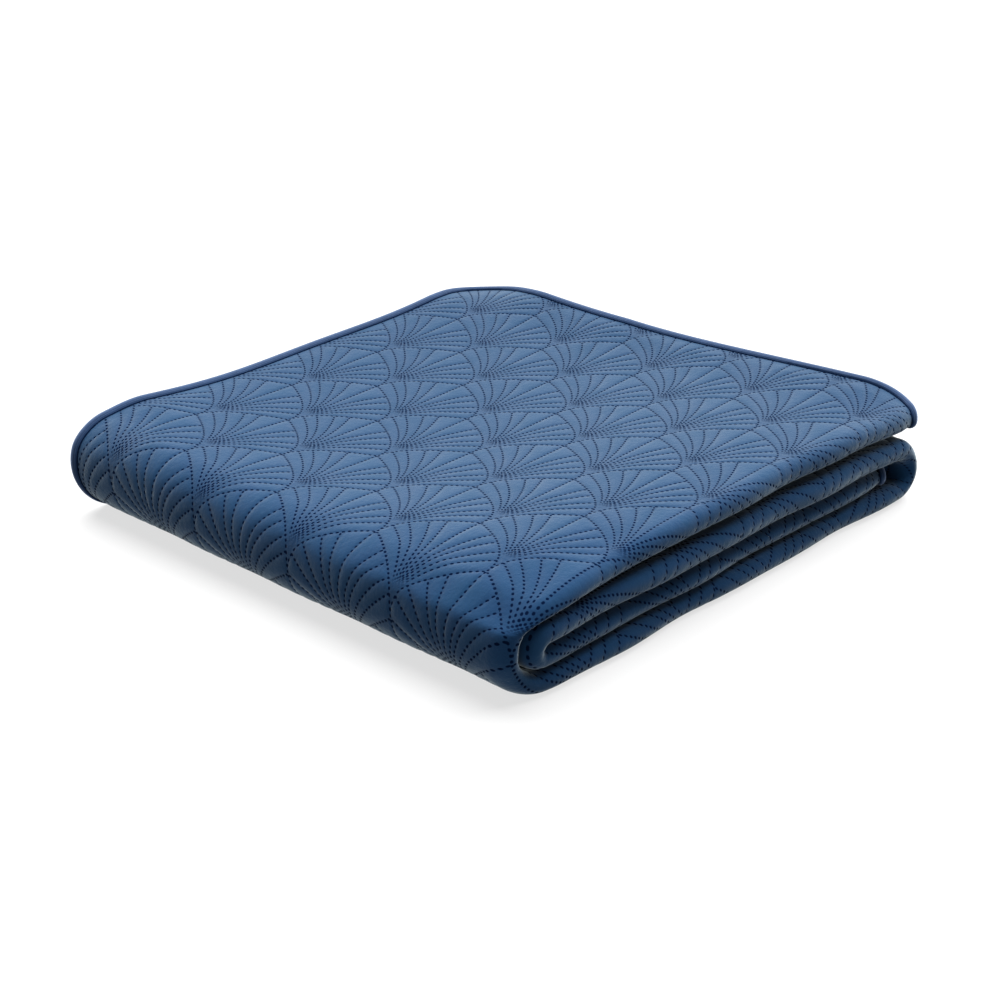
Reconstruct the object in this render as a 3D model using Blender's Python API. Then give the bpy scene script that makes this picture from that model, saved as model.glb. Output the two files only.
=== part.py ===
"""Quilted bedspread, folded and turned over into a flat square pack.

The cloth is one quilted sheet with a binding sewn round its edge. Its width is folded in four,
which gives a strip of four layers, and the strip is turned over into four limbs that lie on each
other. A point of the cloth is known by two lengths along the flat sheet, across and along, and by
its height above the sheet's middle surface. The strip's cross-section places it in the strip, the
strip's path places the strip in the pack, and a soft warp gives the pack its dish and its uneven
sides. All lengths are in metres, with +Z up and the origin under the middle of the pack.
"""

import math

import bmesh
import bpy
from mathutils import Vector

# The cloth and its binding
CLOTH_THICKNESS = 0.0042
BOUND_THICKNESS = 0.0016
BOUND_WIDTH = 0.0105
FULL_FROM = 0.016
CORNER_RADIUS = 0.068
BINDING_WIDTH = 0.0092
BINDING_WALL = 0.0008
BINDING_GAP = 0.00045
BINDING_EDGE_ROUNDING = 0.0004

# The strip: four layers, numbered by their height above its middle in layer pitches
LAYER_PITCH = 0.0050
OUTER_LEVEL = 1.5
INNER_LEVEL = 0.5
EDGE_Y = 0.2945
FRONT_NOSE_Y = -0.2580
FRONT_NOSE_REACH = 0.0115
INNER_NOSE_Y = -0.2430
BACK_NOSE_Y = 0.2830

# The pack: the strip's four limbs, from the floor up, with the gap under each one.
# limb, layer pitch, gap below, sideways shift of its front folds at the left and at the right,
# and of its back edges
LIMBS = (
    ("bottom", 0.0050, 0.0000, 0.004, -0.028, -0.013),
    ("third", 0.0050, 0.0016, 0.005, -0.022, -0.010),
    ("second", 0.0057, 0.0034, 0.001, -0.029, -0.007),
    ("top", 0.0053, 0.0052, 0.002, -0.023, 0.000),
)
END_X = 0.2950
OUTER_NOSE_X = -0.2950
RIGHT_TURN_X = 0.2480
INNER_TURN_X = -0.2500
TUCKED_END_X = 0.2500

# The middle of the pack's plan, which is moved to the origin
MIDDLE_X = 0.0005
MIDDLE_Y = -0.0004

# How the ends of the strip's layers lie
LAYER_RECESS = 0.018
FOLD_CORNER_RADIUS = 0.050
FOLD_CORNER_SOFTNESS = 0.0095
RECESS_FADE = 0.200
END_LIFT = 0.0010
END_SPREAD = 0.25
END_LIFT_LENGTH = 0.090
TURN_SAG = 0.005
SAG_FROM_X = 0.235
SAG_LEVELS = (0.000, 0.030, 0.045, 0.068)

# The top's height over the plan
LOW_X = -0.012
LOW_Y = 0.076
LOW_HEIGHT = 0.0715
FRONT_RISE = 0.0255
FRONT_BULGE = 1.45
BACK_RISE = 0.0119
LEFT_RISE = 0.0166
RIGHT_RISE = 0.0160
BACK_CORNER_DROOP = 0.0120
BACK_DROOP_FROM_X = 0.200
BACK_DROOP_FROM_Y = 0.190
FRONT_CORNER_DROOP = 0.0105
FRONT_DROOP_FROM_X = 0.160
FRONT_DROOP_FROM_Y = 0.220
WAVE_HEIGHT = 0.0008

# The front folds at the left, which are drawn in round the pack's corner
LEFT_CORNER_RADIUS = 0.065
LEFT_CORNER_PULL = 0.034
PULL_LEFT_ABOVE = 0.3
PULL_FADES_OVER = 0.045

# Unevenness of the strip's sides.
# height of the wave, its rate along the strip, its start
FRONT_WAVES = ((0.0014, 31.0, 0.8), (0.0007, 53.0, 2.0))
BACK_WAVES = ((0.0018, 23.0, 1.5),)
FRONT_SHIFT_FROM_Y = 0.100
BACK_SHIFT_FROM_Y = 0.050

# How finely the folds are cut
NOSE_STEPS = 6
TURN_STEPS = (8, 7, 6)
LIMB_STEPS = 7
CORNER_ROWS = (0.0, 0.004, BOUND_WIDTH, FULL_FROM, 0.027, 0.043, CORNER_RADIUS)
EDGE_STATIONS = (0.0, BOUND_WIDTH, FULL_FROM)
FLAT_STATIONS = (0.100, 0.197, 0.294, 0.391, 0.488)
FOLD_STATIONS = (0.515, 0.537)

BLUE = (0.115, 0.235, 0.395, 1.0)
NAVY = (0.045, 0.105, 0.215, 1.0)


class Run:
    """A straight stretch of a curve."""

    def __init__(self, start, end, normal):
        self.start = Vector(start)
        self.end = Vector(end)
        self.normal = Vector(normal)
        self.length = (self.end - self.start).length

    def at(self, distance):
        return self.start.lerp(self.end, distance / self.length), self.normal


class Turn:
    """Half an ellipse, with its normal pointing out of it (facing 1) or into it (facing -1)."""

    def __init__(self, centre, reach, half_height, from_angle, to_angle, facing):
        self.centre = Vector(centre)
        self.reach = reach
        self.half_height = half_height
        self.from_angle = math.radians(from_angle)
        self.to_angle = math.radians(to_angle)
        self.facing = facing
        self.length = math.pi * math.sqrt((reach**2 + half_height**2) / 2)

    def at(self, distance):
        angle = self.from_angle + (self.to_angle - self.from_angle) * distance / self.length
        out = Vector((math.cos(angle), math.sin(angle)))
        point = self.centre + Vector((self.reach * out.x, self.half_height * out.y))
        normal = Vector((self.half_height * out.x, self.reach * out.y)).normalized()
        return point, normal * self.facing


def walk(curve, distance):
    """The point and the normal at a distance along a curve of runs and turns."""
    for stretch in curve[:-1]:
        if distance <= stretch.length:
            return stretch.at(distance)
        distance -= stretch.length
    return curve[-1].at(distance)


def curve_length(curve):
    return sum(stretch.length for stretch in curve)


def soft_step(value, start, end):
    """0 up to start, 1 from end on, and a smooth rise between them."""
    share = min(max((value - start) / (end - start), 0.0), 1.0)
    return share * share * (3 - 2 * share)


def make_section():
    """The strip's cross-section, in Y and layer pitches times LAYER_PITCH, outer layer first."""
    outer = OUTER_LEVEL * LAYER_PITCH
    inner = INNER_LEVEL * LAYER_PITCH
    fold_middle = (outer + inner) / 2
    fold_half = (outer - inner) / 2
    return (
        Run((EDGE_Y, outer), (FRONT_NOSE_Y, outer), (0, 1)),
        Turn((FRONT_NOSE_Y, 0), FRONT_NOSE_REACH, outer, 90, 270, 1),
        Run((FRONT_NOSE_Y, -outer), (BACK_NOSE_Y, -outer), (0, -1)),
        Turn((BACK_NOSE_Y, -fold_middle), fold_half, fold_half, -90, 90, 1),
        Run((BACK_NOSE_Y, -inner), (INNER_NOSE_Y, -inner), (0, 1)),
        Turn((INNER_NOSE_Y, 0), inner, inner, 270, 90, -1),
        Run((INNER_NOSE_Y, inner), (EDGE_Y, inner), (0, -1)),
    )


def limb_levels():
    """The height of the middle of each limb, from the floor up."""
    levels = []
    under = 0.0
    for _, pitch, gap, _, _, _ in LIMBS:
        half = OUTER_LEVEL * pitch + CLOTH_THICKNESS / 2
        levels.append(under + gap + half)
        under += gap + 2 * half
    return levels


def make_path():
    """The path of the strip's middle through the pack, in X and Z, from its end on the top."""
    bottom, third, second, top = limb_levels()
    half_height = (top - bottom) / 2
    outer_turn_x = OUTER_NOSE_X + half_height + bottom
    return (
        Run((END_X, top), (outer_turn_x, top), (0, 1)),
        Turn((outer_turn_x, bottom + half_height), half_height, half_height, 90, 270, 1),
        Run((outer_turn_x, bottom), (RIGHT_TURN_X, bottom), (0, -1)),
        Turn(
            (RIGHT_TURN_X, (bottom + second) / 2),
            (second - bottom) / 2,
            (second - bottom) / 2,
            -90,
            90,
            1,
        ),
        Run((RIGHT_TURN_X, second), (INNER_TURN_X, second), (0, 1)),
        Turn(
            (INNER_TURN_X, (third + second) / 2),
            (second - third) / 2,
            (second - third) / 2,
            90,
            270,
            1,
        ),
        Run((INNER_TURN_X, third), (TUCKED_END_X, third), (0, -1)),
    )


SECTION = make_section()
PATH = make_path()
CLOTH_WIDTH = curve_length(SECTION)
CLOTH_LENGTH = curve_length(PATH)
PACK_HEIGHT = limb_levels()[-1] + OUTER_LEVEL * LIMBS[-1][1] + CLOTH_THICKNESS / 2


def along_limbs(column, along):
    """A column of LIMBS at a distance along the strip, blended through the turns."""
    row = {limb[0]: limb[column] for limb in LIMBS}
    values = [row["top"], row["bottom"], row["second"], row["third"]]
    result = values[0]
    passed = 0.0
    for index, value in enumerate(values[1:]):
        passed += PATH[2 * index].length
        result += (value - values[index]) * soft_step(along, passed, passed + PATH[2 * index + 1].length)
        passed += PATH[2 * index + 1].length
    return result


def fold_distance(across):
    """How far a place across the cloth is from the strip's outer fold, never quite 0."""
    return math.hypot(across - SECTION[0].length - SECTION[1].length / 2, FOLD_CORNER_SOFTNESS)


def end_recess(across):
    """How far back a layer's end lies, most at the half fold and round the outer fold."""
    outer_fold = SECTION[0].length
    half_fold = curve_length(SECTION[:3])
    recess = LAYER_RECESS * soft_step(across, outer_fold, half_fold)
    recess *= 1 - soft_step(across, half_fold, CLOTH_WIDTH)
    inward = FOLD_CORNER_RADIUS - fold_distance(across)
    if inward > 0:
        recess += FOLD_CORNER_RADIUS - math.sqrt(FOLD_CORNER_RADIUS**2 - inward**2)
    return recess


def top_height(x, y):
    """The height of the pack's top over a place of its plan."""
    front = max(LOW_Y - y, 0.0) / (LOW_Y + EDGE_Y)
    back = max(y - LOW_Y, 0.0) / (EDGE_Y - LOW_Y)
    left = max(LOW_X - x, 0.0) / (LOW_X - OUTER_NOSE_X)
    right = max(x - LOW_X, 0.0) / (END_X - LOW_X)
    rise = FRONT_RISE * front**2 * (1 + FRONT_BULGE * (1 - front)) + BACK_RISE * back**2
    rise += (LEFT_RISE * left**2 + RIGHT_RISE * right**2) * (1 - front)
    back_corner = soft_step(abs(x), BACK_DROOP_FROM_X, END_X) * soft_step(y, BACK_DROOP_FROM_Y, EDGE_Y)
    front_corner = soft_step(x, FRONT_DROOP_FROM_X, END_X) * soft_step(-y, FRONT_DROOP_FROM_Y, EDGE_Y)
    rise -= BACK_CORNER_DROOP * back_corner + FRONT_CORNER_DROOP * front_corner
    wave = math.sin(13.0 * x + 7.0 * y + 0.6) * math.sin(9.0 * y - 5.0 * x + 1.1)
    return LOW_HEIGHT + rise + WAVE_HEIGHT * wave


def waves(table, along):
    """The sum of a table's waves at a distance along the strip."""
    return sum(height * math.sin(rate * along + start) for height, rate, start in table)


def side_shift(along, x, y, z):
    """How far a place of the strip lies to the side, from its front folds to its back edges."""
    at_left = along_limbs(3, along)
    at_right = along_limbs(4, along)
    share = (x - OUTER_NOSE_X) / (END_X - OUTER_NOSE_X)
    front = at_left + (at_right - at_left) * share
    front += waves(FRONT_WAVES, along)
    corner = (OUTER_NOSE_X + LEFT_CORNER_RADIUS - x) / LEFT_CORNER_RADIUS
    if corner > 0:
        pull = 1 - (1 - PULL_LEFT_ABOVE) * soft_step(z, 0.0, PULL_FADES_OVER)
        front += LEFT_CORNER_PULL * pull * (1 - math.sqrt(1 - min(corner, 1.0) ** 2))
    back = along_limbs(5, along) + waves(BACK_WAVES, along)
    front_share = soft_step(-y, -FRONT_SHIFT_FROM_Y, -FRONT_NOSE_Y)
    back_share = soft_step(y, BACK_SHIFT_FROM_Y, BACK_NOSE_Y)
    return front * front_share + back * back_share


def cloth_point(across, along, height):
    """Where a point of the cloth lies, from its place on the flat sheet and its height over it."""
    recess = end_recess(across)
    placed = along + recess * (1 - soft_step(along, 0.0, RECESS_FADE))
    placed -= recess * soft_step(along, CLOTH_LENGTH - RECESS_FADE, CLOTH_LENGTH)
    in_section, section_normal = walk(SECTION, across)
    at_end = 1 - soft_step(placed, 0.0, END_LIFT_LENGTH)
    spread = along_limbs(1, placed) / LAYER_PITCH * (1 + END_SPREAD * at_end)
    level = in_section.y * spread + section_normal.y * height
    y = in_section.x + section_normal.x * height
    on_path, path_normal = walk(PATH, placed)
    x = on_path.x + path_normal.x * level
    z = on_path.y + path_normal.y * level
    z += END_LIFT * at_end
    y += side_shift(placed, x, y, z)
    sag = TURN_SAG * soft_step(x, SAG_FROM_X, END_X)
    z -= sag * soft_step(z, *SAG_LEVELS[:2]) * (1 - soft_step(z, *SAG_LEVELS[2:]))
    return Vector((x - MIDDLE_X, y - MIDDLE_Y, z * top_height(x, y) / PACK_HEIGHT))


def corner_inset(along_from_end, offset):
    """How far in from the long edge a line at this offset from the rounded edge lies."""
    radius = CORNER_RADIUS - offset
    inward = CORNER_RADIUS - along_from_end
    if inward <= 0:
        return offset
    if inward >= radius:
        return CORNER_RADIUS + (inward - radius) * 1.4
    return CORNER_RADIUS - math.sqrt(radius**2 - inward**2)


def edge_distance(across, along):
    """How far a place of the flat sheet is from the sheet's rounded edge."""
    a = min(across, CLOTH_WIDTH - across)
    b = min(along, CLOTH_LENGTH - along)
    if a < CORNER_RADIUS and b < CORNER_RADIUS:
        return CORNER_RADIUS - math.hypot(CORNER_RADIUS - a, CORNER_RADIUS - b)
    return min(a, b)


def half_thickness(across, along):
    """Half the cloth's thickness, which is pressed thin where the binding clamps it."""
    full = soft_step(edge_distance(across, along), BOUND_WIDTH, FULL_FROM)
    return (BOUND_THICKNESS + (CLOTH_THICKNESS - BOUND_THICKNESS) * full) / 2


def turn_stations(curve, index, steps):
    """Evenly spaced distances through one turn of a curve, its two ends included."""
    start = curve_length(curve[:index])
    return [start + curve[index].length * step / steps for step in range(steps + 1)]


def columns():
    """The places across the cloth at which every row of it has a point."""
    flat_y = [EDGE_Y - station for station in FLAT_STATIONS]
    fold_y = [EDGE_Y - station for station in FOLD_STATIONS]
    below_fold, at_half_fold = curve_length(SECTION[:2]), curve_length(SECTION[:4])
    across = list(EDGE_STATIONS + FLAT_STATIONS + FOLD_STATIONS)
    across += turn_stations(SECTION, 1, NOSE_STEPS)
    across += [below_fold + y - FRONT_NOSE_Y for y in reversed(flat_y + fold_y)]
    across += turn_stations(SECTION, 3, NOSE_STEPS - 2)
    across += [at_half_fold + BACK_NOSE_Y - y for y in flat_y]
    across += turn_stations(SECTION, 5, NOSE_STEPS - 2)
    across += [CLOTH_WIDTH - station for station in reversed(EDGE_STATIONS + FLAT_STATIONS)]
    return across


def rows():
    """The places along the cloth at which every column of it has a point."""
    along = list(CORNER_ROWS)
    limb_start = CORNER_RADIUS
    for index, steps in enumerate(TURN_STEPS):
        turn = turn_stations(PATH, 2 * index + 1, steps)
        for step in range(1, LIMB_STEPS):
            along.append(limb_start + (turn[0] - limb_start) * step / LIMB_STEPS)
        along += turn
        limb_start = turn[-1]
    limb_end = CLOTH_LENGTH - CORNER_RADIUS
    for step in range(1, LIMB_STEPS):
        along.append(limb_start + (limb_end - limb_start) * step / LIMB_STEPS)
    return along + [CLOTH_LENGTH - row for row in reversed(CORNER_ROWS)]


def row_places(along, across_columns):
    """The places across the cloth of one row, drawn in where the sheet's corners are round."""
    from_end = min(along, CLOTH_LENGTH - along)
    places = list(across_columns)
    for index, station in enumerate(EDGE_STATIONS):
        inset = corner_inset(from_end, station)
        places[index] = inset
        places[-1 - index] = CLOTH_WIDTH - inset
    return places


def velvet(name, colour):
    """A matt cloth material."""
    material = bpy.data.materials.new(name)
    material.use_nodes = True
    shader = material.node_tree.nodes["Principled BSDF"]
    shader.inputs["Base Color"].default_value = colour
    shader.inputs["Roughness"].default_value = 0.85
    shader.inputs["Metallic"].default_value = 0.0
    return material


def finish(name, bm, material):
    """Turn a closed bmesh into a smooth-shaded object."""
    bmesh.ops.recalc_face_normals(bm, faces=bm.faces)
    mesh = bpy.data.meshes.new(name)
    bm.to_mesh(mesh)
    bm.free()
    mesh.materials.append(material)
    mesh.shade_smooth()
    mesh.set_sharp_from_angle(angle=math.radians(50))
    result = bpy.data.objects.new(name, mesh)
    bpy.context.collection.objects.link(result)
    return result


def skin(bm, rings):
    """Join each ring of points to the next with a band of faces."""
    for ring, following in zip(rings, rings[1:]):
        count = len(ring)
        for index in range(count):
            after = (index + 1) % count
            bm.faces.new((ring[index], ring[after], following[after], following[index]))


def build_panel():
    """The quilted sheet: its face and back, joined along its edge, as one closed body."""
    bm = bmesh.new()
    across_columns = columns()
    rings = []
    for along in rows():
        places = row_places(along, across_columns)
        face = [cloth_point(place, along, half_thickness(place, along)) for place in places]
        back = [cloth_point(place, along, -half_thickness(place, along)) for place in places]
        rings.append([bm.verts.new(point) for point in face + back[::-1]])
    skin(bm, rings)
    count = len(across_columns)
    for ring in (rings[0], rings[-1]):
        for index in range(count - 1):
            bm.faces.new((ring[index], ring[index + 1], ring[-2 - index], ring[-1 - index]))
    return finish("quilted_panel", bm, velvet("quilted_cloth", BLUE))


def corner_stations(far_across, far_along, towards_end):
    """Places round one rounded corner of the sheet, at the rows that cross it."""
    centre_across = CLOTH_WIDTH - CORNER_RADIUS if far_across else CORNER_RADIUS
    centre_along = CLOTH_LENGTH - CORNER_RADIUS if far_along else CORNER_RADIUS
    sines = [(CORNER_RADIUS - row) / CORNER_RADIUS for row in CORNER_ROWS]
    stations = []
    for sine in sorted(sines, reverse=not towards_end):
        cosine = math.sqrt(1 - sine**2)
        out = (cosine if far_across else -cosine, sine if far_along else -sine)
        place = (centre_across + CORNER_RADIUS * out[0], centre_along + CORNER_RADIUS * out[1])
        stations.append((place, out))
    return stations


def edge_stations():
    """Places round the sheet's edge, each with the way out of the sheet there."""
    far_along = CLOTH_LENGTH - CORNER_RADIUS
    straight = [along for along in rows() if CORNER_RADIUS < along < far_along]
    end_row = row_places(0.0, columns())
    ends = [across for across in end_row if CORNER_RADIUS < across < CLOTH_WIDTH - CORNER_RADIUS]
    stations = [((0.0, along), (-1.0, 0.0)) for along in reversed(straight)]
    stations += corner_stations(False, False, True)
    stations += [((across, 0.0), (0.0, -1.0)) for across in ends]
    stations += corner_stations(True, False, False)
    stations += [((CLOTH_WIDTH, along), (1.0, 0.0)) for along in straight]
    stations += corner_stations(True, True, True)
    stations += [((across, CLOTH_LENGTH), (0.0, 1.0)) for across in reversed(ends)]
    stations += corner_stations(False, True, False)
    return stations


def binding_profile():
    """The binding's cross-section, as distances outwards from the edge and heights over it."""
    inner = BOUND_THICKNESS / 2 + BINDING_GAP
    outer = inner + BINDING_WALL
    inside = BINDING_GAP
    outside = BINDING_GAP + BINDING_WALL
    return (
        (-BINDING_WIDTH, inner),
        (-BINDING_WIDTH, outer),
        (-BINDING_EDGE_ROUNDING, outer),
        (outside, inner * 0.7),
        (outside, -inner * 0.7),
        (-BINDING_EDGE_ROUNDING, -outer),
        (-BINDING_WIDTH, -outer),
        (-BINDING_WIDTH, -inner),
        (inside, -inner),
        (inside, inner),
    )


def build_binding():
    """The strip of cloth that is folded over the sheet's edge all the way round."""
    bm = bmesh.new()
    rings = []
    for (across, along), (out_across, out_along) in edge_stations():
        ring = []
        for outward, height in binding_profile():
            point = cloth_point(across + out_across * outward, along + out_along * outward, height)
            ring.append(bm.verts.new(point))
        rings.append(ring)
    skin(bm, rings + [rings[0]])
    return finish("edge_binding", bm, velvet("binding_cloth", NAVY))


for old in list(bpy.data.objects):
    bpy.data.objects.remove(old)
build_panel()
build_binding()
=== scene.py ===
"""Looks of the folded quilted bedspread: its stitched cloth, its binding and a plain stage.

The cloth is cut flat into a few sheets, raised into the petals of its stitched fans, and folded by
the same two curves as the frame's solid: the strip's cross-section and the strip's path. A place of
the cloth is known by its distances across and along the flat sheet. Lengths are in metres.
"""

import math

import bmesh
import bpy
import numpy as np
from mathutils import Matrix, Vector


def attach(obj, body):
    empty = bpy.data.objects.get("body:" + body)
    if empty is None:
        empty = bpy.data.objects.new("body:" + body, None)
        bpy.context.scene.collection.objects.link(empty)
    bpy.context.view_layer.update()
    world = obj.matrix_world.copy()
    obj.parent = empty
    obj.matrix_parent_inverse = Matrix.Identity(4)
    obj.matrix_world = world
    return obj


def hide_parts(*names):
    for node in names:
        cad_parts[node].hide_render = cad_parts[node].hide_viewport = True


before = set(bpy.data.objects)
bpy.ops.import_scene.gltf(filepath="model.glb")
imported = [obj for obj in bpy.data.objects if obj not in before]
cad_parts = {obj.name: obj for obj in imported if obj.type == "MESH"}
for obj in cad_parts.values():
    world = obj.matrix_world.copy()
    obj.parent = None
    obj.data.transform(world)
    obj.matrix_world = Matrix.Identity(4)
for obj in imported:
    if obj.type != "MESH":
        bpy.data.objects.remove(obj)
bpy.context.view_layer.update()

bl_info = {
    "name": "Folded quilted bedspread",
    "version": (1, 0, 0),
    "blender": (4, 5, 0),
    "location": "3D View > Sidebar > Bedspread",
    "description": "Builds the stitched cloth, the binding and the stage of a folded bedspread",
    "category": "Object",
}

# ---- The folds, as in the frame's solid ----

# The sheet, and how it thins from full thickness to its bound edge
CLOTH_THICKNESS = 0.0042
BOUND_THICKNESS = 0.0016
BOUND_WIDTH = 0.0100
FULL_FROM = 0.0300
CORNER_RADIUS = 0.068
# The strip's cross-section in Y, and the levels of its layers in layer pitches
LAYER_PITCH = 0.0050
OUTER_LEVEL = 1.5
INNER_LEVEL = 0.5
EDGE_Y = 0.2945
FRONT_NOSE_Y = -0.2580
FRONT_NOSE_REACH = 0.0115
INNER_NOSE_Y = -0.2430
BACK_NOSE_Y = 0.2830
# Limb, layer pitch, gap below, sideways shift of its front folds at the left and at the right,
# and of its back edges
LIMBS = (
    ("bottom", 0.0050, 0.0000, 0.004, -0.028, -0.013),
    ("third", 0.0050, 0.0016, 0.005, -0.022, -0.010),
    ("second", 0.0057, 0.0034, 0.001, -0.029, -0.007),
    ("top", 0.0053, 0.0052, 0.002, -0.023, 0.000),
)
# The strip's path in X, and the middle of the pack
END_X = 0.2950
OUTER_NOSE_X = -0.2950
RIGHT_TURN_X = 0.2480
INNER_TURN_X = -0.2500
TUCKED_END_X = 0.2500
MIDDLE_X = 0.0005
MIDDLE_Y = -0.0004
# How the layers' ends are drawn back, lifted and spread, and how the right turn sags
LAYER_RECESS = 0.018
FOLD_CORNER_RADIUS = 0.050
FOLD_CORNER_SOFTNESS = 0.0095
RECESS_FADE = 0.200
END_LIFT = 0.0010
END_SPREAD = 0.25
END_LIFT_LENGTH = 0.090
TURN_SAG = 0.005
SAG_FROM_X = 0.235
SAG_LEVELS = (0.000, 0.030, 0.045, 0.068)
# The top's lowest place, its rises to the sides, its drooping corners, and its slight waves:
# rates in X and Y, and start
LOW_X = -0.012
LOW_Y = 0.076
LOW_HEIGHT = 0.0715
FRONT_RISE = 0.0255
FRONT_BULGE = 1.45
BACK_RISE = 0.0119
LEFT_RISE = 0.0166
RIGHT_RISE = 0.0160
BACK_CORNER_DROOP = 0.0120
BACK_DROOP_FROM_X = 0.200
BACK_DROOP_FROM_Y = 0.190
FRONT_CORNER_DROOP = 0.0105
FRONT_DROOP_FROM_X = 0.160
FRONT_DROOP_FROM_Y = 0.220
WAVE_HEIGHT = 0.0008
TOP_WAVES = ((13.0, 7.0, 0.6), (-5.0, 9.0, 1.1))
# The pull at the left corner, and the press of the upper layers towards the left fold
LEFT_CORNER_RADIUS = 0.065
LEFT_CORNER_PULL = 0.034
PULL_LEFT_ABOVE = 0.3
PULL_FADES_OVER = 0.045
SHOULDER_DROP = 0.0130
SHOULDER_LEAST = 0.36
SHOULDER_TO_FRONT = (-0.120, 0.240)
SHOULDER_TO_LEFT = (0.195, 0.300)
CORNER_DROP = 0.004
CORNER_TO_FRONT = (0.200, 0.262)
CORNER_TO_LEFT = (0.100, 0.187)
PRESSED_LEVELS = (0.062, 0.094)
# The uneven front folds and back edges: height, rate and start of each wave along the strip
FRONT_WAVES = ((0.0014, 31.0, 0.8), (0.0007, 53.0, 2.0))
BACK_WAVES = ((0.0018, 23.0, 1.5),)
FRONT_SHIFT_FROM_Y = 0.100
BACK_SHIFT_FROM_Y = 0.050

# ---- The stitched fans ----

# Fans repeat on a square lattice, and every other column is moved on by half a repeat.
REPEAT = 0.1236
FAN_BASE_ACROSS = 0.2484
FAN_BASE_ALONG = 0.2960
# A fan's ribs all start at the tip of the fan below it and spread along:
# side = spread * height ** RIB_POWER, in repeats. The last rib is the fan's own lower edge and
# closes the fans beside it.
RIB_SPREADS = (0.0, 0.264, 0.478, 0.839, 1.285, 2.297)
RIB_POWER = 2.2
# How far on the stitches of each next rib start, in stitches
RIB_STAGGER = 0.37
# Least values, for sound powers and divisions
LEAST_HEIGHT = 0.0001
LEAST_ROOM = 0.00002
# The cloth is drawn tight round the front folds: from where to where its petals are flatter, how
# much, and how far they are puffed there
STRETCHED_ROUND_FOLD = (0.010, 0.034)
FOLD_STRETCH = 0.8
FOLD_PUFFED = 0.7
HIDDEN_PUFFED = 0.5


class Run:
    """A straight stretch of a curve."""

    def __init__(self, start, end, normal):
        self.start = np.array(start)
        self.reach = np.array(end) - self.start
        self.normal = np.array(normal, float)
        self.length = float(np.hypot(*self.reach))

    def at(self, distance):
        share = distance[:, None] / self.length
        return self.start + self.reach * share, np.tile(self.normal, (len(distance), 1))


class Turn:
    """Half an ellipse, with its normal pointing out of it (facing 1) or into it (facing -1)."""

    def __init__(self, centre, reach, half_height, from_angle, to_angle, facing):
        self.centre = np.array(centre)
        self.half_axes = np.array((reach, half_height))
        self.from_angle = math.radians(from_angle)
        self.swing = math.radians(to_angle - from_angle)
        self.facing = facing
        self.length = math.pi * math.sqrt((reach**2 + half_height**2) / 2)

    def at(self, distance):
        angle = self.from_angle + self.swing * distance / self.length
        out = np.stack((np.cos(angle), np.sin(angle)), axis=1)
        normal = out * self.half_axes[::-1]
        normal /= np.hypot(normal[:, 0], normal[:, 1])[:, None]
        return self.centre + out * self.half_axes, normal * self.facing


def walk(curve, distance):
    """The points and normals at distances along a curve of runs and turns."""
    flat = distance.ravel()
    points = np.zeros((len(flat), 2))
    normals = np.zeros((len(flat), 2))
    start = 0.0
    for index, stretch in enumerate(curve):
        here = (flat > start) | (index == 0)
        if index < len(curve) - 1:
            here &= flat <= start + stretch.length
        points[here], normals[here] = stretch.at(flat[here] - start)
        start += stretch.length
    shape = distance.shape + (2,)
    return points.reshape(shape), normals.reshape(shape)


def curve_length(curve):
    return sum(stretch.length for stretch in curve)


def soft_step(value, start, end):
    """0 up to start, 1 from end on, and a smooth rise between them."""
    share = np.clip((value - start) / (end - start), 0.0, 1.0)
    return share * share * (3 - 2 * share)


def make_section():
    """The strip's cross-section, in Y and in layer pitches times LAYER_PITCH."""
    outer = OUTER_LEVEL * LAYER_PITCH
    inner = INNER_LEVEL * LAYER_PITCH
    fold_middle = (outer + inner) / 2
    fold_half = (outer - inner) / 2
    return (
        Run((EDGE_Y, outer), (FRONT_NOSE_Y, outer), (0, 1)),
        Turn((FRONT_NOSE_Y, 0), FRONT_NOSE_REACH, outer, 90, 270, 1),
        Run((FRONT_NOSE_Y, -outer), (BACK_NOSE_Y, -outer), (0, -1)),
        Turn((BACK_NOSE_Y, -fold_middle), fold_half, fold_half, -90, 90, 1),
        Run((BACK_NOSE_Y, -inner), (INNER_NOSE_Y, -inner), (0, 1)),
        Turn((INNER_NOSE_Y, 0), inner, inner, 270, 90, -1),
        Run((INNER_NOSE_Y, inner), (EDGE_Y, inner), (0, -1)),
    )


def limb_levels():
    """The height of the middle of each limb, from the floor up."""
    levels = []
    under = 0.0
    for _, pitch, gap, _, _, _ in LIMBS:
        half = OUTER_LEVEL * pitch + CLOTH_THICKNESS / 2
        levels.append(under + gap + half)
        under += gap + 2 * half
    return levels


def make_path():
    """The path of the strip's middle through the pack, in X and Z, from its end on the top."""
    bottom, third, second, top = limb_levels()
    left = (top - bottom) / 2
    right = (second - bottom) / 2
    inside = (second - third) / 2
    left_x = OUTER_NOSE_X + left + bottom
    return (
        Run((END_X, top), (left_x, top), (0, 1)),
        Turn((left_x, bottom + left), left, left, 90, 270, 1),
        Run((left_x, bottom), (RIGHT_TURN_X, bottom), (0, -1)),
        Turn((RIGHT_TURN_X, bottom + right), right, right, -90, 90, 1),
        Run((RIGHT_TURN_X, second), (INNER_TURN_X, second), (0, 1)),
        Turn((INNER_TURN_X, third + inside), inside, inside, 90, 270, 1),
        Run((INNER_TURN_X, third), (TUCKED_END_X, third), (0, -1)),
    )


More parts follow.
